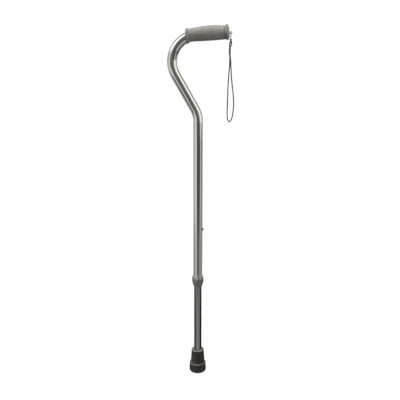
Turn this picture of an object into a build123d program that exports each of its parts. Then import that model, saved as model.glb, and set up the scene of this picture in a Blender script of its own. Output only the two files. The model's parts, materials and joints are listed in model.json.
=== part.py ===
from build123d import *
import os
from math import asin, cos, pi, radians, sin, sqrt, tan

# Offset-handle walking cane. Millimetres, +Z up, origin at the centre of the rubber
# tip's sole, on the shaft's axis. The handle's free end points along +X.

# lower tube, with the rubber tip pushed on its foot
LOWER_DIAMETER = 19.05
LOWER_WALL = 1.2
LOWER_LENGTH = 394.5
TIP_FLOOR = 8.5
WASHER_THICKNESS = 1.5

# rubber tip
TIP_RING_WALL = 11.9
TIP_RING_TOP_WALL = 10.6
TIP_RING_HEIGHT = 24.4
TIP_NECK_WALL = 7.9
TIP_RIM_WALL = 5.9
TIP_HEIGHT = 60.7
TIP_SOLE_ROUND = 4.0
TIP_EDGE_ROUND = 2.2
TIP_CENTRE_DISC = 12.0
TREAD_GROOVES = 3
TREAD_PITCH = 4.4
TREAD_GROOVE_WIDTH = 1.8
TREAD_GROOVE_DEPTH = 1.6

# upper tube: shaft, swan neck and handle in one bent tube
TUBE_GAP = 0.325
UPPER_WALL = 1.25
UPPER_SHAFT_LENGTH = 408.5
NECK_ANGLE = 30.0
NECK_LENGTH = 191.8
NECK_BEND_RADIUS = 57.0
HANDLE_BEND_RADIUS = 58.0
HANDLE_RISE = 5.0
HANDLE_LENGTH = 69.8

# height adjustment: a snap button in the lower tube, a row of holes in the upper tube
BUTTON_BELOW_TOP = 20.0
HOLE_PITCH = 25.4
HOLES_ABOVE = 5
HOLES_BELOW = 4
LOWEST_HOLE_HEIGHT = 32.9
HOLE_CLEARANCE = 0.325
BUTTON_DIAMETER = 6.35
BUTTON_RUNNING_GAP = 0.08
BUTTON_PROUD = 2.6
BUTTON_FLANGE = 8.4
BUTTON_FLANGE_THICKNESS = 1.0
BUTTON_TAIL_DIAMETER = 3.0
BUTTON_TAIL_LENGTH = 2.0
BUTTON_DOME_HEIGHT = 1.5
SPRING_WIDTH = 6.0
SPRING_THICKNESS = 0.5
SPRING_DROP = 26.0
SPRING_HEAD = 8.0
SPRING_BEND_RADIUS = 3.0
SPRING_HOLE_CLEARANCE = 0.4
SPRING_WALL_GAP = 0.7

# nylon guide in the top of the lower tube
GUIDE_COLLAR_HEIGHT = 3.0
GUIDE_PLUG_LENGTH = 9.0
GUIDE_HOLE_DIAMETER = 11.0
GUIDE_RUNNING_GAP = 0.05

# threaded bushing, clamp ring and lock nut at the foot of the upper tube
BUSHING_WALL = 1.35
BUSHING_THREAD_LENGTH = 8.3
BUSHING_LIP = 1.0
FLANGE_EDGE_HEIGHT = 1.0
FLANGE_BEVEL_HEIGHT = 6.2
FLANGE_TOP_WALL = 1.05
FLANGE_NOTCHES = 12
FLANGE_NOTCH_WIDTH = 2.4
FLANGE_NOTCH_DEPTH = 2.0
SEAM = 0.3
LEG_GAP = 0.3
NUT_SKIRT_HEIGHT = 8.0
NUT_TAPER_HEIGHT = 11.0
NUT_WALL = 1.4
NUT_FOOT_WALL = 1.2
NUT_GROOVES = 24
NUT_GROOVE_RADIUS = 0.45
CLAMP_HEIGHT = 6.0
CLAMP_SLOT = 1.6
CLAMP_WALL = 0.9
CLAMP_SHOULDER = 1.2

# moulded hand grip on the handle
GRIP_END_BEFORE_BEND = 22.0
GRIP_END_PAST_TUBE = 1.4
GRIP_FLANGE_WALL = 5.65
GRIP_FLANGE_THICKNESS = 5.8
GRIP_FLANGE_ROUND = 1.8
GRIP_INNER_FLANGE_OFFSET = -0.5
GRIP_OUTER_FLANGE_OFFSET = 0.8
# share of the length between the flanges, then the wall above, below and beside the tube
GRIP_SECTIONS = [
    (0.00, 2.6, 0.5, 2.8),
    (0.12, 4.1, 1.6, 3.2),
    (0.30, 5.6, 2.6, 4.2),
    (0.50, 6.4, 3.2, 5.0),
    (0.70, 6.1, 3.4, 5.0),
    (0.88, 4.5, 3.3, 3.8),
    (1.00, 3.4, 3.1, 3.0),
]

# end cap with the strap's eyelet
CAP_MARGIN = 2.3
CAP_EDGE = 0.7
CAP_DOME = 2.0
CAP_PLUG_LENGTH = 12.0
CAP_PLUG_WALL = 2.0
EYELET_OUT = 5.3
EYELET_DROP = 1.3
EYELET_RADIUS = 2.8
EYELET_HOLE_RADIUS = 1.5
EYELET_THICKNESS = 2.4

# fits between pieces that stay together, on the radius
FIT = 0.05

# wrist strap, each point measured from the eyelet's centre
STRING_DIAMETER = 1.6
STRAP_DIAMETER = 2.6
KNOT_RADIUS = 2.4
KNOT_DROP = 15.6
KNOT_RING_RADIUS = 2.4
KNOT_RING_DROP = 19.7
SLEEVE_CENTRE = (-1.75, 0.0, -39.0)
SLEEVE_LENGTH = 14.0
SLEEVE_WIDTH = 7.2
SLEEVE_DEPTH = 4.2
SLEEVE_WALL = 0.7
STRING_ROUTE = [
    (0.0, -0.7, -15.6),
    (0.0, -2.4, -8.0),
    (0.0, -2.4, -0.4),
    (0.0, 2.4, -0.4),
    (0.0, 2.4, -8.0),
    (0.0, 0.7, -15.6),
]
STRAP_ROUTE = [
    (-1.8, -1.4, -38.1),
    (-1.7, -1.5, -47.0),
    (-1.3, -1.4, -60.0),
    (-2.1, -1.2, -77.0),
    (-3.4, -0.9, -95.0),
    (-4.5, -0.7, -112.0),
    (-4.8, -0.3, -134.0),
    (-5.2, 0.0, -157.0),
    (-5.8, 0.2, -174.0),
    (-5.0, 0.2, -187.5),
    (-1.3, 0.0, -195.0),
    (3.4, 0.0, -191.0),
    (6.3, 0.0, -182.0),
    (8.2, 0.2, -166.0),
    (8.8, 0.4, -149.0),
    (7.2, 0.8, -131.0),
    (4.6, 1.1, -113.0),
    (2.6, 1.3, -95.0),
    (1.3, 1.5, -77.0),
    (0.4, 1.4, -60.0),
    (-1.2, 1.5, -47.0),
    (-1.75, 1.45, -39.5),
    (-1.8, 1.4, -31.5),
    (1.3, 2.3, -26.5),
    (1.9, 2.3, -19.7),
    (-1.9, -2.3, -19.7),
    (-2.7, -2.3, -26.5),
    (-1.8, -1.4, -31.5),
    (-1.75, -1.4, -37.9),
]

# places worked out from the sizes
LOWER_RADIUS = LOWER_DIAMETER / 2
LOWER_BORE = LOWER_RADIUS - LOWER_WALL
UPPER_BORE = LOWER_RADIUS + TUBE_GAP
UPPER_RADIUS = UPPER_BORE + UPPER_WALL
TUBE_SEAT = TIP_FLOOR + WASHER_THICKNESS
LOWER_TOP = TUBE_SEAT + LOWER_LENGTH
BUTTON_Z = LOWER_TOP - BUTTON_BELOW_TOP
UPPER_FOOT = BUTTON_Z - HOLES_BELOW * HOLE_PITCH - LOWEST_HOLE_HEIGHT
NECK_VERTEX = Vector(0, 0, UPPER_FOOT + UPPER_SHAFT_LENGTH)
NECK_WAY = Vector(-sin(radians(NECK_ANGLE)), 0, cos(radians(NECK_ANGLE)))
HANDLE_VERTEX = NECK_VERTEX + NECK_WAY * NECK_LENGTH
HANDLE_WAY = Vector(cos(radians(HANDLE_RISE)), 0, sin(radians(HANDLE_RISE)))
HANDLE_TURN = 90 + NECK_ANGLE - HANDLE_RISE
BEND_END = HANDLE_VERTEX + HANDLE_WAY * (HANDLE_BEND_RADIUS * tan(radians(HANDLE_TURN / 2)))
# local X runs along the handle, local Z is up and square to it
HANDLE = Plane(origin=BEND_END, x_dir=HANDLE_WAY, z_dir=(-HANDLE_WAY.Z, 0, HANDLE_WAY.X))
GRIP_END = HANDLE_LENGTH + GRIP_END_PAST_TUBE
EYELET = HANDLE.from_local_coords(Vector(GRIP_END + EYELET_OUT, 0, -EYELET_DROP))

BUSHING_FOOT = UPPER_FOOT - BUSHING_LIP
FLANGE_FOOT = BUSHING_FOOT + BUSHING_THREAD_LENGTH
NUT_TOP = FLANGE_FOOT - SEAM
NUT_SHOULDER = NUT_TOP - NUT_SKIRT_HEIGHT
NUT_FOOT = NUT_SHOULDER - NUT_TAPER_HEIGHT
LEG_BORE = LOWER_RADIUS + LEG_GAP
THREAD_RADIUS = UPPER_RADIUS + FIT + BUSHING_WALL
COLLAR_RADIUS = THREAD_RADIUS + SEAM + NUT_WALL
CLAMP_TOP = BUSHING_FOOT - SEAM
CLAMP_FOOT = CLAMP_TOP - CLAMP_HEIGHT
CLAMP_TOP_RADIUS = THREAD_RADIUS - SEAM
CLAMP_FOOT_RADIUS = LEG_BORE + CLAMP_WALL


def tube(path, radius):
    """A round bar along a path of lines and tangent arcs."""
    start = Plane(origin=path @ 0, z_dir=path % 0)
    return sweep(start * Circle(radius), path=path)


def ring(radius, bore, foot, top):
    """A plain ring about the Z axis."""
    body = Cylinder(radius, top - foot, align=(Align.CENTER, Align.CENTER, Align.MIN))
    body -= Cylinder(bore, top - foot, align=(Align.CENTER, Align.CENTER, Align.MIN))
    return Pos(0, 0, foot) * body


def turned(points):
    """A closed outline of (radius, height) points, turned about the Z axis."""
    outline = Polyline([(x, 0, z) for x, z in points], close=True)
    return revolve(make_face(outline), axis=Axis.Z)


def cross_bore(radius, z, start, end):
    """A cylinder along X, for a hole through one side of a tube."""
    hole = Cylinder(radius, end - start, align=(Align.CENTER, Align.CENTER, Align.MIN))
    return Pos(start, 0, z) * Rot(0, 90, 0) * hole


def upper_path():
    end = BEND_END + HANDLE_WAY * HANDLE_LENGTH
    points = [Vector(0, 0, UPPER_FOOT), NECK_VERTEX, HANDLE_VERTEX, end]
    return FilletPolyline(*points, radius=[NECK_BEND_RADIUS, HANDLE_BEND_RADIUS])


def upper_tube():
    path = upper_path()
    body = tube(path, UPPER_RADIUS) - tube(path, UPPER_BORE)
    radius = BUTTON_DIAMETER / 2 + HOLE_CLEARANCE
    for step in range(-HOLES_BELOW, HOLES_ABOVE + 1):
        z = BUTTON_Z + step * HOLE_PITCH
        body -= cross_bore(radius, z, 0, 2 * UPPER_RADIUS)
    return body


def lower_tube():
    body = ring(LOWER_RADIUS, LOWER_BORE, TUBE_SEAT, LOWER_TOP)
    radius = BUTTON_DIAMETER / 2 + BUTTON_RUNNING_GAP
    return body - cross_bore(radius, BUTTON_Z, 0, LOWER_DIAMETER)


def guide_bushing():
    collar = UPPER_BORE - GUIDE_RUNNING_GAP
    body = ring(collar, GUIDE_HOLE_DIAMETER / 2, LOWER_TOP, LOWER_TOP + GUIDE_COLLAR_HEIGHT)
    plug = ring(LOWER_BORE - FIT, GUIDE_HOLE_DIAMETER / 2, LOWER_TOP - GUIDE_PLUG_LENGTH, LOWER_TOP)
    return body + plug


def button_flange_outside():
    """How far out the button's flange can stand inside the lower tube's round bore."""
    half = BUTTON_FLANGE / 2
    return sqrt(LOWER_BORE**2 - half**2) - LEG_GAP


def domed_outline(points, edge, middle, crown):
    """A closed outline whose last side, from edge to crown, is an arc through middle."""
    return make_face(Polyline(crown, *points, edge) + ThreePointArc(edge, middle, crown))


def arc_middle(half_width, height):
    """Where the arc over a shallow dome is, halfway from its edge to its crown: (out, up)."""
    radius = (half_width**2 + height**2) / (2 * height)
    half_angle = asin(half_width / radius) / 2
    return radius * sin(half_angle), height - radius * (1 - cos(half_angle))


def snap_button():
    radius = BUTTON_DIAMETER / 2
    flange = BUTTON_FLANGE / 2
    tail = BUTTON_TAIL_DIAMETER / 2
    outside = button_flange_outside()
    inside = outside - BUTTON_FLANGE_THICKNESS
    end = inside - BUTTON_TAIL_LENGTH
    shoulder = UPPER_RADIUS + BUTTON_PROUD - BUTTON_DOME_HEIGHT
    out, up = arc_middle(radius, BUTTON_DOME_HEIGHT)
    corners = [(end, 0), (end, tail), (inside, tail), (inside, flange), (outside, flange), (outside, radius)]
    face = domed_outline(
        [(x, 0, z) for x, z in corners],
        (shoulder, 0, radius),
        (shoulder + up, 0, out),
        (shoulder + BUTTON_DOME_HEIGHT, 0, 0),
    )
    return Pos(0, 0, BUTTON_Z) * revolve(face, axis=Axis.X)


def button_spring():
    back = -(sqrt(LOWER_BORE**2 - (SPRING_WIDTH / 2) ** 2) - SPRING_WALL_GAP)
    half = SPRING_THICKNESS / 2
    front = button_flange_outside() - BUTTON_FLANGE_THICKNESS - half - FIT
    fold = BUTTON_Z - SPRING_DROP
    points = [
        (back + half, 0, BUTTON_Z + SPRING_HEAD),
        (back + half, 0, fold),
        ((back + front) / 2, 0, fold),
        (front, 0, BUTTON_Z - SPRING_HEAD),
        (front, 0, BUTTON_Z + SPRING_HEAD),
    ]
    path = FilletPolyline(*points, radius=[SPRING_BEND_RADIUS, SPRING_BEND_RADIUS, SPRING_BEND_RADIUS])
    start = Plane(origin=path @ 0, x_dir=(0, 1, 0), z_dir=path % 0)
    leaf = sweep(start * Rectangle(SPRING_WIDTH, SPRING_THICKNESS), path=path)
    hole = (BUTTON_TAIL_DIAMETER + SPRING_HOLE_CLEARANCE) / 2
    return leaf - cross_bore(hole, BUTTON_Z, front - SPRING_THICKNESS, front + SPRING_THICKNESS)


def rubber_tip():
    bore = LOWER_RADIUS + FIT
    ring_radius = bore + TIP_RING_WALL
    top_radius = bore + TIP_RING_TOP_WALL
    neck_radius = bore + TIP_NECK_WALL
    rim_radius = bore + TIP_RIM_WALL
    outline = [
        (0, 0),
        (ring_radius, 0),
        (top_radius, TIP_RING_HEIGHT),
        (neck_radius, TIP_RING_HEIGHT),
        (rim_radius, TIP_HEIGHT),
        (bore, TIP_HEIGHT),
        (bore, TIP_FLOOR),
        (0, TIP_FLOOR),
    ]
    body = turned(outline)
    circles = body.edges().filter_by(GeomType.CIRCLE)
    sole = circles.filter_by(lambda e: abs(e.radius - ring_radius) < 0.01)
    body = fillet(sole, TIP_SOLE_ROUND)
    circles = body.edges().filter_by(GeomType.CIRCLE)
    edge = circles.filter_by(lambda e: abs(e.radius - top_radius) < 0.01)
    body = fillet(edge, TIP_EDGE_ROUND)
    circles = body.edges().filter_by(GeomType.CIRCLE)
    rim = circles.filter_by(lambda e: abs(e.radius - rim_radius) < 0.01)
    body = fillet(rim, min(TIP_EDGE_ROUND, 0.4 * TIP_RIM_WALL))
    for turn in range(TREAD_GROOVES):
        inner = TIP_CENTRE_DISC / 2 + turn * TREAD_PITCH
        body -= ring(inner + TREAD_GROOVE_WIDTH, inner, 0, TREAD_GROOVE_DEPTH)
    return body


def tip_washer():
    return Pos(0, 0, TIP_FLOOR) * Cylinder(
        LOWER_RADIUS - FIT, WASHER_THICKNESS, align=(Align.CENTER, Align.CENTER, Align.MIN)
    )


def thread_bushing():
    bore = UPPER_RADIUS + FIT
    flange_edge = FLANGE_FOOT + FLANGE_EDGE_HEIGHT
    flange_top = flange_edge + FLANGE_BEVEL_HEIGHT
    outline = [
        (LEG_BORE, BUSHING_FOOT),
        (THREAD_RADIUS, BUSHING_FOOT),
        (THREAD_RADIUS, FLANGE_FOOT),
        (COLLAR_RADIUS, FLANGE_FOOT),
        (COLLAR_RADIUS, flange_edge),
        (bore + FLANGE_TOP_WALL, flange_top),
        (bore, flange_top),
        (bore, UPPER_FOOT),
        (LEG_BORE, UPPER_FOOT),
    ]
    body = turned(outline)
    notch = Box(FLANGE_NOTCH_DEPTH * 2, FLANGE_NOTCH_WIDTH, FLANGE_BEVEL_HEIGHT)
    for turn in range(FLANGE_NOTCHES):
        angle = 360 * (turn + 0.5) / FLANGE_NOTCHES + 90
        place = Rot(0, 0, angle) * Pos(COLLAR_RADIUS, 0, flange_edge + FLANGE_BEVEL_HEIGHT / 2)
        body -= place * notch
    return body


def clamp_ring():
    shoulder = CLAMP_TOP - CLAMP_SHOULDER
    outline = [
        (LEG_BORE, CLAMP_FOOT),
        (CLAMP_FOOT_RADIUS, CLAMP_FOOT),
        (CLAMP_TOP_RADIUS, shoulder),
        (CLAMP_TOP_RADIUS, CLAMP_TOP),
        (LEG_BORE, CLAMP_TOP),
    ]
    slot = Pos(0, THREAD_RADIUS, (CLAMP_TOP + CLAMP_FOOT) / 2)
    return turned(outline) - slot * Box(CLAMP_SLOT, THREAD_RADIUS * 2, CLAMP_HEIGHT * 2)


def lock_nut():
    bore = THREAD_RADIUS + SEAM
    cone_foot = CLAMP_FOOT - SEAM
    outline = [
        (LEG_BORE, NUT_FOOT),
        (LEG_BORE + NUT_FOOT_WALL, NUT_FOOT),
        (COLLAR_RADIUS, NUT_SHOULDER),
        (COLLAR_RADIUS, NUT_TOP),
        (bore, NUT_TOP),
        (bore, CLAMP_TOP - CLAMP_SHOULDER),
        (CLAMP_FOOT_RADIUS + SEAM, cone_foot),
        (LEG_BORE, cone_foot),
    ]
    body = turned(outline)
    groove = Cylinder(NUT_GROOVE_RADIUS, NUT_SKIRT_HEIGHT - 2 * SEAM)
    for turn in range(NUT_GROOVES):
        angle = 360 * turn / NUT_GROOVES
        place = Rot(0, 0, angle) * Pos(COLLAR_RADIUS + NUT_GROOVE_RADIUS / 2, 0, (NUT_TOP + NUT_SHOULDER) / 2)
        body -= place * groove
    return body


def grip_flange(start, offset):
    disc = Cylinder(UPPER_RADIUS + GRIP_FLANGE_WALL, GRIP_FLANGE_THICKNESS)
    disc = fillet(disc.edges().filter_by(GeomType.CIRCLE), GRIP_FLANGE_ROUND)
    return Pos(start + GRIP_FLANGE_THICKNESS / 2, 0, offset) * Rot(0, 90, 0) * disc


def bend_drop(along):
    """How far the bent tube's line lies below the straight handle's, before the bend's end."""
    if along >= 0:
        return 0
    return HANDLE_BEND_RADIUS - sqrt(HANDLE_BEND_RADIUS**2 - along**2)


def hand_grip():
    first = -GRIP_END_BEFORE_BEND
    last = GRIP_END - GRIP_FLANGE_THICKNESS
    body_start = first + GRIP_FLANGE_THICKNESS / 2
    body_length = last + GRIP_FLANGE_THICKNESS / 2 - body_start
    faces = []
    bore = UPPER_RADIUS + FIT
    for share, wall_above, wall_below, wall_beside in GRIP_SECTIONS:
        along = body_start + share * body_length
        above = bore + wall_above
        below = bore + wall_below + bend_drop(along)
        section = Plane(origin=(along, 0, (above - below) / 2), x_dir=(0, 1, 0), z_dir=(1, 0, 0))
        faces.append(section * Ellipse(bore + wall_beside, (above + below) / 2))
    body = loft(faces)
    body += grip_flange(first, GRIP_INNER_FLANGE_OFFSET)
    body += grip_flange(last, GRIP_OUTER_FLANGE_OFFSET)
    past_end = HANDLE_WAY * (2 * GRIP_END_PAST_TUBE)
    ahead = Line(BEND_END, BEND_END + HANDLE_WAY * HANDLE_LENGTH + past_end)
    return HANDLE * body - tube(upper_path(), bore) - tube(ahead, bore)


def grip_end_cap():
    head = UPPER_RADIUS + GRIP_FLANGE_WALL - CAP_MARGIN
    plug = UPPER_BORE - FIT
    start = GRIP_END - CAP_PLUG_LENGTH
    rim = GRIP_END + CAP_EDGE
    out, up = arc_middle(head, CAP_DOME)
    face = domed_outline(
        [(GRIP_END, 0, 0), (GRIP_END, 0, head)],
        (rim, 0, head),
        (rim + up, 0, out),
        (rim + CAP_DOME, 0, 0),
    )
    body = revolve(face, axis=Axis.X)
    stub = Cylinder(plug, CAP_PLUG_LENGTH) - Cylinder(plug - CAP_PLUG_WALL, CAP_PLUG_LENGTH)
    body += Pos(start + CAP_PLUG_LENGTH / 2, 0, 0) * Rot(0, 90, 0) * stub
    centre = Pos(GRIP_END + EYELET_OUT, 0, -EYELET_DROP)
    across = Rot(90, 0, 0)
    body += centre * across * Cylinder(EYELET_RADIUS, EYELET_THICKNESS)
    web = Box(EYELET_OUT, EYELET_THICKNESS, EYELET_RADIUS * 1.6)
    body += Pos(GRIP_END + EYELET_OUT / 2, 0, -EYELET_DROP) * web
    body -= centre * across * Cylinder(EYELET_HOLE_RADIUS, EYELET_THICKNESS * 2)
    return HANDLE * body


def corner_radii(points, share=0.45):
    """The largest arc that each corner's two runs leave room for."""
    radii = []
    for before, corner, after in zip(points, points[1:], points[2:]):
        turn = (corner - before).get_angle(after - corner)
        shorter = min((corner - before).length, (after - corner).length)
        radii.append(share * shorter / tan(radians(turn / 2)))
    return radii


def cord(name, route, diameter):
    """A cord's plain tube along its route, with its radii and volume printed."""
    points = [EYELET + Vector(*place) for place in route]
    radii = corner_radii(points)
    path = FilletPolyline(*points, radius=radii)
    body = tube(path, diameter / 2)
    section = pi * diameter**2 / 4
    print(name, "radii", [round(r, 1) for r in radii])
    print(name, "length", round(path.length, 1), "volume share", round(body.volume / section / path.length, 4))
    return body


def strap_knot():
    knot = EYELET - Vector(0, 0, KNOT_DROP)
    eye_top = EYELET - Vector(0, 0, KNOT_RING_DROP)
    eye_way = Vector(*STRAP_ROUTE[-5]) - Vector(*STRAP_ROUTE[-4])
    body = Pos(*knot) * Sphere(KNOT_RADIUS)
    wrap = Plane(origin=eye_top, z_dir=eye_way)
    return body + wrap * Torus(KNOT_RING_RADIUS, STRING_DIAMETER / 2)


def strap_sleeve():
    outer = extrude(SlotOverall(SLEEVE_WIDTH, SLEEVE_DEPTH), SLEEVE_LENGTH / 2, both=True)
    width = SLEEVE_WIDTH - 2 * SLEEVE_WALL
    depth = SLEEVE_DEPTH - 2 * SLEEVE_WALL
    inner = extrude(SlotOverall(width, depth), SLEEVE_LENGTH, both=True)
    return Pos(*(EYELET + Vector(*SLEEVE_CENTRE))) * Rot(0, 0, 90) * (outer - inner)


def write(name, shape):
    solids = shape.solids()
    whole = solids[0] if len(solids) == 1 else Compound(children=list(solids))
    export_step(whole, f"parts/{name}.step")
    print(name, "solids", len(solids), "volume", round(whole.volume, 1))


os.makedirs("parts", exist_ok=True)
write("upper_tube", upper_tube())
write("hand_grip", hand_grip())
write("grip_end_cap", grip_end_cap())
write("thread_bushing", thread_bushing())
write("lock_nut", lock_nut())
write("clamp_ring", clamp_ring())
write("lower_tube", lower_tube())
write("guide_bushing", guide_bushing())
write("button_spring", button_spring())
write("snap_button", snap_button())
write("rubber_tip", rubber_tip())
write("tip_washer", tip_washer())
write("strap_string", cord("strap_string", STRING_ROUTE, STRING_DIAMETER))
write("strap_knot", strap_knot())
write("strap_cord", cord("strap_cord", STRAP_ROUTE, STRAP_DIAMETER))
write("strap_sleeve", strap_sleeve())
print("handle bend ends at", BEND_END, "eyelet at", EYELET)
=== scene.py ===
import itertools
import json
import math

import bpy
import numpy as np
from mathutils import Matrix, Vector

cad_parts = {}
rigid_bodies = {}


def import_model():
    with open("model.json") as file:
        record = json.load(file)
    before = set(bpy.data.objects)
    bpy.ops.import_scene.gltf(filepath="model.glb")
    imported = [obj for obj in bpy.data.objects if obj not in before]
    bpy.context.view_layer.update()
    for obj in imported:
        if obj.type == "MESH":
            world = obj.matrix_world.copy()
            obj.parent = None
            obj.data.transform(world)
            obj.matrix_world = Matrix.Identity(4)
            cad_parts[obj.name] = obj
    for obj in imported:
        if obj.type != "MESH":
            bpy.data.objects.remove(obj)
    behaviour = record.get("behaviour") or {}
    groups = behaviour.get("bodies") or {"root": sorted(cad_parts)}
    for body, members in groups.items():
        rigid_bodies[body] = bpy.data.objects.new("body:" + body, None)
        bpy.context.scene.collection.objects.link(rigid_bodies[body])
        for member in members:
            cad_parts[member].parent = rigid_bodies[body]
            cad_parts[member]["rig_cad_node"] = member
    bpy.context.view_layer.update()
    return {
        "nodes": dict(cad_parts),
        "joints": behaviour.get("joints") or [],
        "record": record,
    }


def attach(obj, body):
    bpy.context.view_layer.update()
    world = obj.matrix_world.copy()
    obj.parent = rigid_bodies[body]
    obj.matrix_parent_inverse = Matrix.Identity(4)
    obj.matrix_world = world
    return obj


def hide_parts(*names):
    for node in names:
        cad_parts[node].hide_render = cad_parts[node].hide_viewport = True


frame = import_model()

MM = 0.001
FULL_TURN = 2 * math.pi

# ---------------------------------------------------------------- camera
CAMERA_AZIMUTH = math.radians(6.0)
CAMERA_DISTANCE = 1.354
CAMERA_HEIGHT = 0.871
CAMERA_PITCH = math.radians(17.0)
CAMERA_ROLL = math.radians(0.1)
CAMERA_LENS = 54.0
CAMERA_SENSOR = 36.0
CAMERA_SHIFT = 0.0051
NEAREST_SEEN, FARTHEST_SEEN = 0.01, 50.0


def make_camera():
    data = bpy.data.cameras.new("camera")
    data.sensor_width = CAMERA_SENSOR
    data.lens = CAMERA_LENS
    data.shift_x = CAMERA_SHIFT
    data.clip_start = NEAREST_SEEN
    data.clip_end = FARTHEST_SEEN
    camera = bpy.data.objects.new("camera", data)
    bpy.context.scene.collection.objects.link(camera)
    across = CAMERA_DISTANCE * math.sin(CAMERA_AZIMUTH)
    back = -CAMERA_DISTANCE * math.cos(CAMERA_AZIMUTH)
    camera.location = (across, back, CAMERA_HEIGHT)
    turn = Matrix.Rotation(CAMERA_AZIMUTH, 3, "Z")
    tilt = Matrix.Rotation(math.pi / 2 - CAMERA_PITCH, 3, "X")
    roll = Matrix.Rotation(CAMERA_ROLL, 3, "Z")
    camera.rotation_euler = (turn @ tilt @ roll).to_euler()
    bpy.context.scene.camera = camera


make_camera()

# ---------------------------------------------------------------- the wrist strap's routes
# Each point is measured in millimetres from the centre of the eyelet in the end cap, where the
# strap swings. The eye that hangs on the string is 0.6 mm wider to each side than its plain CAD
# tube, so that the cord lies round it.
EYELET = Vector(next(j["pos_m"] for j in frame["joints"] if j["name"] == "strap_swing"))
STRING_DIAMETER = 1.6 * MM
STRAP_DIAMETER = 2.6 * MM
CORE_RADIUS = 0.42 * STRAP_DIAMETER
EYE_TOP_FAR = (1.9, 2.9, -19.7)
EYE_TOP_NEAR = (-1.9, -2.9, -19.7)
STRING_ROUTE = [
    (0.0, -0.7, -15.6),
    (0.0, -2.4, -8.0),
    (0.0, -2.4, -0.4),
    (0.0, 2.4, -0.4),
    (0.0, 2.4, -8.0),
    (0.0, 0.7, -15.6),
]
STRAP_ROUTE = [
    (-1.8, -1.4, -38.1),
    (-1.7, -1.5, -47.0),
    (-1.3, -1.4, -60.0),
    (-2.1, -1.2, -77.0),
    (-3.4, -0.9, -95.0),
    (-4.5, -0.7, -112.0),
    (-4.8, -0.3, -134.0),
    (-5.2, 0.0, -157.0),
    (-5.8, 0.2, -174.0),
    (-5.0, 0.2, -187.5),
    (-1.3, 0.0, -195.0),
    (3.4, 0.0, -191.0),
    (6.3, 0.0, -182.0),
    (8.2, 0.2, -166.0),
    (8.8, 0.4, -149.0),
    (7.2, 0.8, -131.0),
    (4.6, 1.1, -113.0),
    (2.6, 1.3, -95.0),
    (1.3, 1.5, -77.0),
    (0.4, 1.4, -60.0),
    (-1.2, 1.5, -47.0),
    (-1.75, 1.45, -39.5),
    (-1.8, 1.4, -31.5),
    (1.3, 2.9, -26.5),
    EYE_TOP_FAR,
    EYE_TOP_NEAR,
    (-2.7, -2.9, -26.5),
    (-1.8, -1.4, -31.5),
    (-1.75, -1.4, -37.9),
]


def cord_curve(name, route, radius):
    """One smooth open spline through the cord's route, with a round section."""
    curve = bpy.data.curves.new(name, "CURVE")
    curve.dimensions = "3D"
    spline = curve.splines.new("NURBS")
    spline.points.add(len(route) - 1)
    for point, place in zip(spline.points, route):
        point.co = (*(EYELET + Vector(place) * MM), 1)
    spline.order_u = 3
    spline.use_endpoint_u = True
    spline.resolution_u = 12
    curve.bevel_depth = radius
    curve.bevel_resolution = 5
    curve.use_fill_caps = True
    piece = bpy.data.objects.new(name, curve)
    bpy.context.scene.collection.objects.link(piece)
    return piece


def line_of(piece):
    """The points down the middle of a cord's curve."""
    bare = piece.data.copy()
    bare.bevel_depth = 0
    holder = bpy.data.objects.new("bare", bare)
    mesh = bpy.data.meshes.new_from_object(holder)
    points = [v.co.copy() for v in mesh.vertices]
    bpy.data.meshes.remove(mesh)
    bpy.data.objects.remove(holder)
    bpy.data.curves.remove(bare)
    return points


string = cord_curve("wrist_string", STRING_ROUTE, STRING_DIAMETER / 2)
strap = cord_curve("wrist_cord", STRAP_ROUTE, CORE_RADIUS)


# ---------------------------------------------------------------- mesh helpers
SHORTEST_SIDE = 0.1


def add_mesh(name, vertices, faces, smooth=True):
    mesh = bpy.data.meshes.new(name)
    mesh.from_pydata([tuple(v) for v in vertices], [], faces)
    mesh.validate()
    if smooth:
        mesh.shade_smooth()
    piece = bpy.data.objects.new(name, mesh)
    bpy.context.scene.collection.objects.link(piece)
    return piece


def evenly_spaced(points, step):
    """Points along a line, about one step apart, and how far along it each lies."""
    line = np.array(points, float)
    along = np.concatenate([[0], np.cumsum(np.linalg.norm(np.diff(line, axis=0), axis=1))])
    count = max(int(along[-1] / step), 2)
    wanted = np.linspace(0, along[-1], count + 1)
    return np.stack([np.interp(wanted, along, line[:, k]) for k in range(3)], axis=1), wanted


def carried_frames(line):
    """Two directions square to the line at each point, carried along it without twist."""
    ways = np.gradient(line, axis=0)
    ways /= np.linalg.norm(ways, axis=1)[:, None]
    side = np.cross(ways[0], (0.0, 1.0, 0.0))
    if np.linalg.norm(side) < SHORTEST_SIDE:
        side = np.cross(ways[0], (1.0, 0.0, 0.0))
    sides = []
    for way in ways:
        side = side - way * side.dot(way)
        side = side / np.linalg.norm(side)
        sides.append(side)
    sides = np.array(sides)
    return sides, np.cross(ways, sides)


def ring_faces(ring, following, sides):
    """The four-sided faces between two rings of vertices."""
    faces = []
    for k in range(sides):
        turn = (k + 1) % sides
        corners = (ring, k), (ring, turn), (following, turn), (following, k)
        faces.append(tuple(row * sides + place for row, place in corners))
    return faces


def tube_rings(line, radius, sides=8, closed=False):
    """Vertices and faces of a round tube round a line of points."""
    first, second = carried_frames(np.array(line, float))
    angles = np.linspace(0, FULL_TURN, sides, endpoint=False)
    circle = np.cos(angles)[:, None, None] * first + np.sin(angles)[:, None, None] * second
    rings = (np.array(line)[None] + radius * circle).transpose(1, 0, 2).reshape(-1, 3)
    count = len(line)
    faces = []
    for ring in range(count if closed else count - 1):
        faces += ring_faces(ring, (ring + 1) % count, sides)
    if not closed:
        faces.append(tuple(range(sides))[::-1])
        faces.append(tuple((count - 1) * sides + k for k in range(sides)))
    return rings.tolist(), faces


def joined(parts):
    """Several (vertices, faces) as one."""
    vertices, faces = [], []
    for points, polygons in parts:
        start = len(vertices)
        vertices += points
        faces += [tuple(start + i for i in face) for face in polygons]
    return vertices, faces


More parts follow.
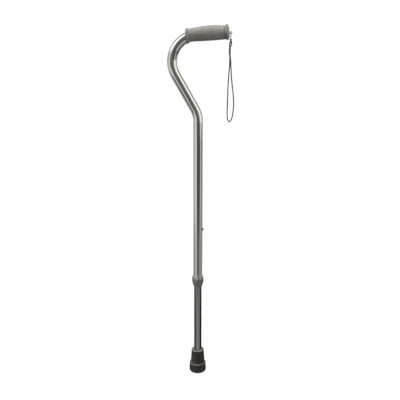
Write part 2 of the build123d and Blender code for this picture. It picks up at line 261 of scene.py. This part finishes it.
# ---------------------------------------------------------------- the strap's own pieces
BRAID_STRANDS = 8
BRAID_PITCH = 7.0 * MM
BRAID_STEP = 0.45 * MM
STRAND_RADIUS = 0.34 * MM
STRAND_SIDES = 6
WEAVE_DEPTH = 0.55
KNOT_DROP = 15.2 * MM
KNOT_STRETCH = (0.60, 0.9, 0.62)
KNOT_CORE = 0.9 * MM
KNOT_POINTS = 120
RING_DROP = 19.7 * MM
RING_RADIUS = 2.4 * MM
SLEEVE_CENTRE = (-1.75, 0.0, -39.0)
SLEEVE_LENGTH = 14.0 * MM
SLEEVE_HALF_WIDTH = 2.1 * MM
SLEEVE_STRAIGHT = 1.5 * MM
SLEEVE_WALL = 0.6 * MM
RIM_CORNERS = (0.3, 1.7)
CRIMP_PLACES = (0.45, 0.0, -0.45)
CRIMP_DEPTH = 0.35 * MM
CRIMP_HALF_WIDTH = 0.9 * MM
CRIMP_FLAT = 0.4
OUTLINE_STEPS = 10


def braid(name, points, radius):
    """Strands wound both ways round a cord, each passing over and under the others."""
    line, along = evenly_spaced(points, BRAID_STEP)
    first, second = carried_frames(line)
    middle = radius - STRAND_RADIUS
    each_way = BRAID_STRANDS // 2
    parts = []
    for strand in range(BRAID_STRANDS):
        hand = 1 if strand % 2 else -1
        turn = FULL_TURN * (strand // 2) / each_way
        angle = hand * FULL_TURN * along / BRAID_PITCH + turn
        weave = np.cos(FULL_TURN * along / BRAID_PITCH * each_way + turn)
        height = middle + hand * weave * STRAND_RADIUS * WEAVE_DEPTH
        path = line + (np.cos(angle) * height)[:, None] * first
        path = path + (np.sin(angle) * height)[:, None] * second
        parts.append(tube_rings(path, STRAND_RADIUS, sides=STRAND_SIDES))
    return add_mesh(name, *joined(parts))


def knot():
    """A trefoil knot round a small ring, with the string's turn round the cord's eye under it."""
    centre = np.array(EYELET - Vector((0, 0, KNOT_DROP)))
    turns = np.linspace(0, FULL_TURN, KNOT_POINTS, endpoint=False)
    x = np.sin(turns) + 2 * np.sin(2 * turns)
    y = np.cos(turns) - 2 * np.cos(2 * turns)
    z = -np.sin(3 * turns)
    loops = np.stack([x, z, y], axis=1) * KNOT_STRETCH * MM + centre
    core = np.stack([np.cos(turns), 0 * turns, np.sin(turns)], axis=1) * KNOT_CORE + centre
    eye_top = EYELET - Vector((0, 0, RING_DROP))
    across = Vector(EYE_TOP_FAR) - Vector(EYE_TOP_NEAR)
    side = across.cross(Vector((0, 0, 1))).normalized() * RING_RADIUS
    up = Vector((0, 0, RING_RADIUS))
    ring = np.array([eye_top + side * math.cos(a) + up * math.sin(a) for a in turns])
    paths = (loops, ring, core)
    parts = [tube_rings(path, STRING_DIAMETER / 2, closed=True) for path in paths]
    return add_mesh("string_knot", *joined(parts))


def slot_outline(half_width, straight):
    """Points of an outline with two straight sides and two round ends, long along Y."""
    points = []
    for end in (1, -1):
        for k in range(OUTLINE_STEPS + 1):
            angle = math.pi * k / OUTLINE_STEPS
            x = end * half_width * math.cos(angle)
            y = end * (straight + half_width * math.sin(angle))
            points.append((x, y))
    return points


def sleeve_profile():
    """Heights along the sleeve, and how far its surface lies outside or inside there."""
    half = SLEEVE_LENGTH / 2
    rim = SLEEVE_WALL / 2
    near, far = (rim * corner for corner in RIM_CORNERS)
    foot = [(-half + rim, 0), (-half + near, -near), (-half, -rim), (-half + near, -far)]
    bore = [(-half + 2 * rim, -SLEEVE_WALL), (half - 2 * rim, -SLEEVE_WALL)]
    top = [(half - near, -far), (half, -rim), (half - near, -near), (half - rim, 0)]
    grooves = []
    wide = CRIMP_HALF_WIDTH
    flat = CRIMP_HALF_WIDTH * CRIMP_FLAT
    for place in CRIMP_PLACES:
        height = place * half
        grooves += [(height + wide, 0), (height + flat, -CRIMP_DEPTH)]
        grooves += [(height - flat, -CRIMP_DEPTH), (height - wide, 0)]
    return foot + bore + top + grooves


def sleeve():
    """A pinched tube with rolled rims and three crimp grooves round the doubled cord."""
    centre = EYELET + Vector(SLEEVE_CENTRE) * MM
    rings = []
    for height, offset in sleeve_profile():
        outline = slot_outline(SLEEVE_HALF_WIDTH + offset, SLEEVE_STRAIGHT)
        rings.append([centre + Vector((x, y, height)) for x, y in outline])
    vertices = [v for ring in rings for v in ring]
    faces = []
    for ring in range(len(rings)):
        around = ring_faces(ring, (ring + 1) % len(rings), len(rings[0]))
        faces += [(a, d, c, b) for a, b, c, d in around]
    return add_mesh("cord_sleeve", vertices, faces)


string_knot = knot()
cord_sleeve = sleeve()
cord_braid = braid("wrist_cord_braid", line_of(strap), STRAP_DIAMETER / 2)


# ---------------------------------------------------------------- the moulded grip
GRIP_VOXEL = 0.5 * MM
GRIP_SMOOTHING = 6
HANDLE_RISE = math.radians(5.0)
FLANGE_MARGIN = 7.5 * MM
FLANGE_FADE = 3 * MM
SEAM_BELOW = 0.4 * MM
SEAM_WIDTH = 0.35 * MM
SEAM_HEIGHT = 0.16 * MM
PEBBLE_SIZE = 1.5 * MM
PEBBLE_HEIGHT = 0.11 * MM
PEBBLE_STEEPNESS = 1.6
PEBBLE_SEED = 7
# A pebble's centre lies this far into its cell at least, and at most this much farther.
CENTRE_FROM, CENTRE_SPREAD = 0.15, 0.7
# Whole numbers that turn a cell's place into three shares of one, the same on every run.
CELL_FACTORS = (73856093, 19349663, 83492791)
SHARE_FACTORS = (31, 57, 91)
SHARE_RANGE = 1009
FAR_AWAY = 9.0


def remeshed_copy(node, name, voxel):
    """A new mesh over a CAD node's shape, in even small faces."""
    source = frame["nodes"][node]
    piece = bpy.data.objects.new(name, source.data.copy())
    bpy.context.scene.collection.objects.link(piece)
    remesh = piece.modifiers.new("remesh", "REMESH")
    remesh.mode = "VOXEL"
    remesh.voxel_size = voxel
    smooth = piece.modifiers.new("smooth", "CORRECTIVE_SMOOTH")
    smooth.use_only_smooth = True
    smooth.iterations = GRIP_SMOOTHING
    graph = bpy.context.evaluated_depsgraph_get()
    mesh = bpy.data.meshes.new_from_object(piece.evaluated_get(graph))
    piece.modifiers.clear()
    piece.data = mesh
    mesh.name = name
    mesh.shade_smooth()
    return piece


def pebbles(points, size):
    """Height from 0 to 1 of a pebbled skin at each point: round bumps round scattered centres."""
    cells = np.floor(points / size).astype(int)
    nearest = np.full(len(points), FAR_AWAY)
    for step in itertools.product((-1, 0, 1), repeat=3):
        cell = cells + step
        x, y, z = (cell * CELL_FACTORS).T
        mixed = x ^ y ^ z ^ PEBBLE_SEED
        shares = [(mixed * k) % SHARE_RANGE / SHARE_RANGE for k in SHARE_FACTORS]
        centre = (cell + CENTRE_FROM + CENTRE_SPREAD * np.stack(shares, axis=1)) * size
        nearest = np.minimum(nearest, np.linalg.norm(points - centre, axis=1) / size)
    return np.clip(1 - nearest**2 * PEBBLE_STEEPNESS, 0, 1)


def vertex_values(mesh, kind):
    values = np.zeros(len(mesh.vertices) * 3)
    mesh.vertices.foreach_get(kind, values)
    return values.reshape(-1, 3)


def moulded_grip():
    """The hand grip, with pebbles between its flanges and a mould seam along each side."""
    grip = remeshed_copy("hand_grip", "moulded_grip", GRIP_VOXEL)
    mesh = grip.data
    co = vertex_values(mesh, "co")
    normals = vertex_values(mesh, "normal")
    way = np.array([math.cos(HANDLE_RISE), 0, math.sin(HANDLE_RISE)])
    along = co @ way
    middle = (co.min(0) + co.max(0)) / 2
    from_axis = co - middle - np.outer((co - middle) @ way, way)
    outward = (normals * from_axis).sum(1) > 0
    from_end = np.minimum(along - along.min(), along.max() - along)
    share = np.clip((from_end - FLANGE_MARGIN) / FLANGE_FADE, 0, 1) * outward
    lift = pebbles(co, PEBBLE_SIZE) * PEBBLE_HEIGHT * share
    from_seam = (from_axis[:, 2] + SEAM_BELOW) / SEAM_WIDTH
    seam = np.exp(-(from_seam**2)) * SEAM_HEIGHT * outward
    co += normals * (lift + seam - 0.5 * PEBBLE_HEIGHT * share)[:, None]
    mesh.vertices.foreach_set("co", co.ravel())
    mesh.update()
    return grip


grip = moulded_grip()


# ---------------------------------------------------------------- materials
# The sockets of a Mix node that mixes colours.
MIX_SHARE, MIX_FIRST, MIX_SECOND, MIX_RESULT = 0, 6, 7, 2
UP = 2


class Nodes:
    """A node tree, with short calls to add and join nodes."""

    def __init__(self, tree):
        self.tree = tree
        self.tree.nodes.clear()

    def node(self, kind, inputs=None, **settings):
        made = self.tree.nodes.new("ShaderNode" + kind)
        for key, value in settings.items():
            setattr(made, key, value)
        for key, value in (inputs or {}).items():
            self.set(made.inputs[key], value)
        return made

    def set(self, socket, value):
        if isinstance(value, bpy.types.NodeSocket):
            self.tree.links.new(value, socket)
        else:
            socket.default_value = value

    def ramp(self, value, between, to=(0, 1)):
        """A value mapped from one range to another, held at its ends."""
        low, high = between
        first, last = to
        inputs = {"Value": value, "From Min": low, "From Max": high}
        return self.node("MapRange", {**inputs, "To Min": first, "To Max": last}).outputs[0]

    def colour(self, share, first, second):
        """Two colours mixed by a share, each a node's output or three numbers."""
        first, second = (
            c if isinstance(c, bpy.types.NodeSocket) else (*c, 1) for c in (first, second)
        )
        inputs = {MIX_SHARE: share, MIX_FIRST: first, MIX_SECOND: second}
        return self.node("Mix", inputs, data_type="RGBA").outputs[MIX_RESULT]

    def maths(self, operation, first, second):
        return self.node("Math", {0: first, 1: second}, operation=operation).outputs[0]

    def total(self, first, second):
        return self.maths("ADD", first, second)

    def product(self, first, second):
        return self.maths("MULTIPLY", first, second)


class Shader(Nodes):
    """A material with one Principled surface, placed by the object's own coordinates."""

    def __init__(self, name, metallic=0.0, **constants):
        self.material = bpy.data.materials.new(name)
        self.material.use_nodes = True
        super().__init__(self.material.node_tree)
        output = self.node("OutputMaterial")
        self.surface = self.node("BsdfPrincipled", {"Metallic": metallic})
        self.set(output.inputs[0], self.surface.outputs[0])
        for socket, value in constants.items():
            self.set(self.surface.inputs[socket.replace("_", " ")], value)
        self.place = self.node("TexCoord").outputs["Object"]

    def stretched(self, scale):
        """The place in the object, with each axis scaled."""
        return self.node("Mapping", {"Vector": self.place, "Scale": scale}).outputs[0]

    def noise(self, scale, detail, stretch=(1, 1, 1)):
        inputs = {"Vector": self.stretched(stretch), "Scale": scale, "Detail": detail}
        return self.node("TexNoise", inputs).outputs[0]

    def cells(self, scale, feature, stretch=(1, 1, 1)):
        inputs = {"Vector": self.stretched(stretch), "Scale": scale}
        return self.node("TexVoronoi", inputs, feature=feature).outputs["Distance"]

    def upward(self):
        """How far the surface faces up, from -1 to 1."""
        normal = self.node("NewGeometry").outputs["Normal"]
        return self.node("SeparateXYZ", {0: normal}).outputs[UP]

    def height(self):
        """How far up the object the place is, in metres."""
        return self.node("SeparateXYZ", {0: self.place}).outputs[UP]

    def bump(self, height, distance, strength):
        made = self.node("Bump", {"Height": height, "Distance": distance, "Strength": strength})
        before = self.surface.inputs["Normal"]
        if before.is_linked:
            self.set(made.inputs["Normal"], before.links[0].from_socket)
        self.set(before, made.outputs[0])

    def finish(self, colour, roughness):
        self.set(self.surface.inputs["Base Color"], colour)
        self.set(self.surface.inputs["Roughness"], roughness)
        return self.material


def tube_metal(name, main, other, smooth, rough):
    """Drawn aluminium: fine upright lines, faint scuffs, smudges."""
    shader = Shader(name, metallic=1.0)
    lines = shader.noise(scale=900, detail=4, stretch=(1, 1, 0.02))
    smudges = shader.noise(scale=22, detail=4)
    scratches = shader.cells(260, "DISTANCE_TO_EDGE", stretch=(1, 1, 0.12))
    scuffed = shader.ramp(scratches, between=(0.0, 0.02), to=(1, 0))
    areas = shader.ramp(shader.noise(scale=60, detail=2), between=(0.55, 0.7))
    worn = shader.product(scuffed, areas)
    base = shader.colour(shader.ramp(lines, between=(0.3, 0.7)), main, other)
    smudged = shader.ramp(smudges, between=(0.35, 0.68), to=(smooth, rough))
    roughness = shader.total(smudged, shader.ramp(worn, between=(0, 1), to=(0, 0.12)))
    shader.bump(lines, distance=0.02 * MM, strength=0.35)
    shader.bump(worn, distance=0.04 * MM, strength=0.4)
    return shader.finish(base, roughness)


def grip_vinyl():
    """Grey vinyl with a fine grain over the pebbles of the grip's own shape."""
    main, other, grain_shade = (0.175, 0.168, 0.155), (0.225, 0.218, 0.202), (0.10, 0.095, 0.088)
    shader = Shader("grip_vinyl", Specular_IOR_Level=0.42)
    grain = shader.cells(2400, "SMOOTH_F1")
    patches = shader.noise(scale=45, detail=5)
    base = shader.colour(shader.ramp(patches, between=(0.3, 0.7)), main, other)
    # Painted shade: the grain is mixed towards a darker colour away from its cells' centres.
    base = shader.colour(shader.ramp(grain, between=(0, 0.5), to=(0, 0.35)), base, grain_shade)
    shader.bump(grain, distance=0.08 * MM, strength=0.6)
    gloss = shader.noise(scale=160, detail=3)
    return shader.finish(base, shader.ramp(gloss, between=(0.3, 0.7), to=(0.42, 0.6)))


def moulded_plastic(name, main, other, smooth=0.35, rough=0.5, top_highlight=None):
    """Moulded plastic with a fine grain, and a painted highlight, paler in patches where it faces
    up, if a colour for it is given.
    """
    shader = Shader(name, Specular_IOR_Level=0.45)
    clouds = shader.noise(scale=90, detail=5)
    fine = shader.noise(scale=3000, detail=2)
    base = shader.colour(shader.ramp(clouds, between=(0.35, 0.65)), main, other)
    # Painted highlight: faces turned up take the given pale colour in patches, as if lit from
    # above.
    if top_highlight:
        facing = shader.ramp(shader.upward(), between=(0.12, 0.34))
        patches = shader.noise(scale=160, detail=2)
        patchiness = shader.ramp(patches, between=(0.42, 0.56), to=(0.15, 1.0))
        base = shader.colour(shader.product(facing, patchiness), base, top_highlight)
    shader.bump(fine, distance=0.04 * MM, strength=0.5)
    return shader.finish(base, shader.ramp(fine, between=(0.3, 0.7), to=(smooth, rough)))


def tip_rubber():
    """Matt black-brown rubber, paler where it faces up with dust and a painted highlight, and
    scuffed near the floor.
    """
    main, other = (0.020, 0.017, 0.013), (0.032, 0.028, 0.022)
    dust_and_highlight, scuffed = (0.30, 0.285, 0.255), (0.16, 0.145, 0.12)
    shader = Shader("tip_rubber", Specular_IOR_Level=0.5)
    fine = shader.noise(scale=2600, detail=3)
    patches = shader.noise(scale=70, detail=5)
    base = shader.colour(shader.ramp(patches, between=(0.35, 0.7)), main, other)
    # Faces turned up are paler in specks: partly dust, partly a painted highlight on the rim and
    # on the ring's upper edge.
    facing = shader.ramp(shader.upward(), between=(0.3, 0.8), to=(0, 0.68))
    specks = shader.ramp(shader.noise(scale=400, detail=4), between=(0.3, 0.7), to=(0.4, 1.0))
    base = shader.colour(shader.product(facing, specks), base, dust_and_highlight)
    low_down = shader.ramp(shader.height(), between=(0, 8 * MM), to=(1, 0))
    rubs = shader.ramp(shader.noise(scale=300, detail=4), between=(0.5, 0.62))
    scuffs = shader.product(low_down, rubs)
    base = shader.colour(shader.product(scuffs, 0.5), base, scuffed)
    shader.bump(fine, distance=0.06 * MM, strength=0.6)
    shader.bump(patches, distance=0.2 * MM, strength=0.3)
    return shader.finish(base, shader.ramp(fine, between=(0.3, 0.7), to=(0.4, 0.58)))


def steel(name, main, other, smooth, rough):
    """Steel with fine marks along Y and an uneven shine."""
    shader = Shader(name, metallic=1.0)
    marks = shader.noise(scale=1500, detail=4, stretch=(1, 0.1, 1))
    base = shader.colour(shader.ramp(marks, between=(0.35, 0.65)), main, other)
    shader.bump(marks, distance=0.02 * MM, strength=0.5)
    gloss = shader.noise(scale=500, detail=3)
    return shader.finish(base, shader.ramp(gloss, between=(0.3, 0.7), to=(smooth, rough)))


def cord_fabric(name, main, other):
    """Woven thread: fine fibres over the strands' own shape."""
    frayed = tuple(2.2 * c for c in main)
    shader = Shader(name, Sheen_Weight=0.25, Sheen_Roughness=0.5)
    fibres = shader.noise(scale=5200, detail=4)
    patchiness = shader.noise(scale=260, detail=4)
    base = shader.colour(shader.ramp(patchiness, between=(0.35, 0.65)), main, other)
    base = shader.colour(shader.ramp(fibres, between=(0.5, 0.75), to=(0, 0.5)), base, frayed)
    shader.bump(fibres, distance=0.06 * MM, strength=0.8)
    return shader.finish(base, 0.85)


# Each slot's kind of material, its main colour and the other one, and what else that kind takes.
MATERIALS = {
    "polished_tube": tube_metal(
        "polished_tube", (0.86, 0.855, 0.84), (0.78, 0.775, 0.76), smooth=0.02, rough=0.05
    ),
    "satin_tube": tube_metal(
        "satin_tube", (0.355, 0.351, 0.338), (0.300, 0.296, 0.286), smooth=0.11, rough=0.16
    ),
    "grip_vinyl": grip_vinyl(),
    "cap_plastic": moulded_plastic("cap_plastic", (0.26, 0.252, 0.235), (0.21, 0.203, 0.188)),
    "collar_plastic": moulded_plastic(
        "collar_plastic",
        (0.22, 0.216, 0.204),
        (0.17, 0.167, 0.157),
        smooth=0.3,
        rough=0.45,
        # The collar's bevel faces up and takes this pale colour as a painted highlight.
        top_highlight=(0.50, 0.49, 0.46),
    ),
    "nylon": moulded_plastic("nylon", (0.72, 0.70, 0.64), (0.66, 0.64, 0.58)),
    "spring_steel": steel(
        "spring_steel", (0.42, 0.42, 0.43), (0.30, 0.30, 0.31), smooth=0.25, rough=0.4
    ),
    # Painted shade: the button gets a near-black colour for the dark it reflects and the shadow
    # in its hole, though it is chromed steel.
    "button_steel": steel(
        "button_steel", (0.12, 0.118, 0.112), (0.08, 0.078, 0.074), smooth=0.2, rough=0.32
    ),
    "tip_rubber": tip_rubber(),
    "washer_steel": steel(
        "washer_steel", (0.55, 0.55, 0.56), (0.42, 0.42, 0.43), smooth=0.3, rough=0.45
    ),
    "string_fabric": cord_fabric("string_fabric", (0.012, 0.011, 0.010), (0.020, 0.019, 0.018)),
    "strap_fabric": cord_fabric("strap_fabric", (0.045, 0.043, 0.039), (0.026, 0.025, 0.022)),
    "sleeve_plastic": moulded_plastic(
        "sleeve_plastic", (0.016, 0.015, 0.014), (0.022, 0.021, 0.020), smooth=0.25, rough=0.4
    ),
}


def paint(piece, slot):
    """Gives a piece its slot's material."""
    piece.data.materials.clear()
    piece.data.materials.append(MATERIALS[slot])


for part in frame["record"]["subparts"]:
    paint(frame["nodes"][part["node"]], part["material_slot"])

# ---------------------------------------------------------------- bodies and stand-ins
for piece, slot, node in (
    (string, "string_fabric", "strap_string"),
    (string_knot, "string_fabric", "strap_knot"),
    (strap, "strap_fabric", "strap_cord"),
    (cord_sleeve, "sleeve_plastic", "strap_sleeve"),
):
    paint(piece, slot)
    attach(piece, "wrist_strap")
    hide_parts(node)
paint(cord_braid, "strap_fabric")
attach(cord_braid, "wrist_strap")
paint(grip, "grip_vinyl")
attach(grip, "upper_shaft")
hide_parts("hand_grip")

# ---------------------------------------------------------------- studio
# What polished metal sees round it. Each row: degrees round from the way to the camera, rising to
# the camera's right, and how bright it is there high up, round the level, just below the level,
# lower, near the floor, and on it.
SURROUND = [
    (-180, 0.25, 0.25, 0.36, 0.38, 0.36, 0.15),
    (-122, 0.25, 0.40, 0.58, 0.50, 0.44, 0.22),
    (-106, 1.30, 0.50, 0.64, 0.38, 0.34, 0.40),
    (-96, 1.50, 0.55, 0.40, 0.16, 0.26, 0.50),
    (-84, 1.50, 0.62, 0.40, 0.16, 0.12, 0.58),
    (-72, 1.50, 0.70, 0.70, 0.52, 0.06, 0.64),
    (-56, 1.20, 0.68, 0.74, 0.56, 0.08, 0.68),
    (-42, 0.20, 0.24, 0.72, 0.56, 0.50, 0.68),
    (-28, 0.08, 0.14, 0.66, 0.54, 0.60, 0.50),
    (-21, 0.08, 0.14, 0.02, 0.14, 0.60, 0.40),
    (-3, 0.08, 0.12, 0.01, 0.10, 0.58, 0.30),
    (8, 0.08, 0.11, 0.11, 0.12, 0.58, 0.30),
    (24, 0.10, 0.16, 0.10, 0.16, 0.56, 0.30),
    (34, 0.18, 0.28, 0.01, 0.16, 0.54, 0.30),
    (44, 0.42, 0.50, 0.02, 0.20, 0.50, 0.40),
    (51, 0.70, 0.74, 0.60, 0.46, 0.46, 0.40),
    (64, 1.30, 1.05, 0.60, 0.46, 0.30, 0.30),
    (69, 1.45, 1.20, 0.50, 0.40, 0.00, 0.24),
    (80, 1.30, 1.20, 0.20, 0.09, 0.00, 0.15),
    (100, 0.50, 0.60, 0.20, 0.09, 0.00, 0.12),
    (112, 0.30, 0.50, 0.46, 0.50, 0.00, 0.12),
    (140, 0.25, 0.40, 0.42, 0.46, 0.10, 0.12),
    (180, 0.25, 0.25, 0.36, 0.38, 0.36, 0.15),
]
# The sines of the elevations between which each band fades into the next one up.
BANDS = [(-0.58, -0.53), (-0.45, -0.41), (-0.37, -0.29), (-0.20, -0.12), (0.18, 0.35)]
OVERHEAD = (0.75, 0.90)
OVERHEAD_LIGHT = 1.3
WARMTH = (1.0, 0.985, 0.935)
# What matt surfaces are lit by: one level from below, one from above, and the fade between them.
SOFT_FLOOR = 0.32
SOFT_LIGHT = 0.66
SOFT_FADE = (-0.2, 0.6)


def world_light():
    """White to the camera, a studio of panels to polished metal, and soft light to the rest."""
    world = bpy.data.worlds.new("studio")
    bpy.context.scene.world = world
    world.use_nodes = True
    sky = Nodes(world.node_tree)

    def grey(level):
        return tuple(level * c for c in WARMTH)

    way = sky.node("TexCoord").outputs["Generated"]
    inputs = {"Vector": way, "Angle": -CAMERA_AZIMUTH}
    turned = sky.node("VectorRotate", inputs, rotation_type="Z_AXIS").outputs[0]
    right, ahead, up = sky.node("SeparateXYZ", {0: turned}).outputs
    around = sky.maths("ARCTAN2", right, sky.product(ahead, -1.0))
    share = sky.ramp(around, between=(-math.pi, math.pi))

    def surround(column):
        ramp = sky.node("ValToRGB", {"Fac": share})
        stops = ramp.color_ramp.elements
        while len(stops) < len(SURROUND):
            stops.new(0.5)
        for stop, row in zip(stops, SURROUND):
            stop.position = (row[0] + 180) / 360
            stop.color = (*grey(row[column]), 1)
        return ramp.outputs[0]

    lowest = len(BANDS) + 1
    seen = surround(lowest)
    for column, fade in zip(range(lowest - 1, 0, -1), BANDS):
        seen = sky.colour(sky.ramp(up, fade), seen, surround(column))
    seen = sky.colour(sky.ramp(up, OVERHEAD), seen, grey(OVERHEAD_LIGHT))
    soft = sky.colour(sky.ramp(up, SOFT_FADE), grey(SOFT_FLOOR), grey(SOFT_LIGHT))

    def background(colour):
        return sky.node("Background", {"Color": colour, "Strength": 1.0}).outputs[0]

    def either(share, first, second):
        return sky.node("MixShader", {0: share, 1: first, 2: second}).outputs[0]

    rays = sky.node("LightPath").outputs
    lit = either(rays["Is Glossy Ray"], background(soft), background(seen))
    mixed = either(rays["Is Camera Ray"], lit, background((1, 1, 1, 1)))
    sky.node("OutputWorld", {"Surface": mixed})


# Each lamp: its name, where it is, where it points, its side in metres, its watts and its spread.
LAMPS = (
    ("key", (-0.9, -0.2, 2.4), (0, 0, 0.7), 1.0, 54, math.pi),
    ("fill", (0.7, 0.3, 2.4), (0, 0, 0.6), 1.2, 22, math.pi),
    ("end", (0.95, -0.45, 0.90), (0.08, 0, 0.845), 0.25, 0.13, math.radians(20)),
)


def area_light(name, place, target, side, power, spread):
    data = bpy.data.lights.new(name, "AREA")
    data.spread = spread
    data.shape = "RECTANGLE"
    data.size = data.size_y = side
    data.energy = power
    lamp = bpy.data.objects.new(name, data)
    bpy.context.scene.collection.objects.link(lamp)
    lamp.location = place
    lamp.visible_glossy = False
    lamp.rotation_euler = (Vector(target) - Vector(place)).to_track_quat("-Z", "Y").to_euler()


FLOOR_RADIUS = 6.0
FLOOR_SIDES = 96
FLOOR_GLOW = 0.94
FLOOR_COLOURS = (0.070, 0.070, 0.069), (0.085, 0.085, 0.084)


def make_floor():
    """A wide disc that glows as white as the backdrop.

    Metal and matt pieces take their light from the studio, not from it.
    """
    angles = np.linspace(0, FULL_TURN, FLOOR_SIDES, endpoint=False)
    points = [(FLOOR_RADIUS * math.cos(a), FLOOR_RADIUS * math.sin(a), 0) for a in angles]
    disc = add_mesh("floor", points, [tuple(range(FLOOR_SIDES))], smooth=False)
    glow = {"Emission_Color": (1, 1, 1, 1), "Emission_Strength": FLOOR_GLOW}
    shader = Shader("floor_paper", **glow)
    grain = shader.noise(scale=300, detail=3)
    disc.data.materials.append(shader.finish(shader.colour(grain, *FLOOR_COLOURS), 0.9))
    disc.visible_glossy = False
    disc.visible_diffuse = False


world_light()
for lamp in LAMPS:
    area_light(*lamp)
make_floor()
bpy.context.scene.view_settings.view_transform = "Standard"
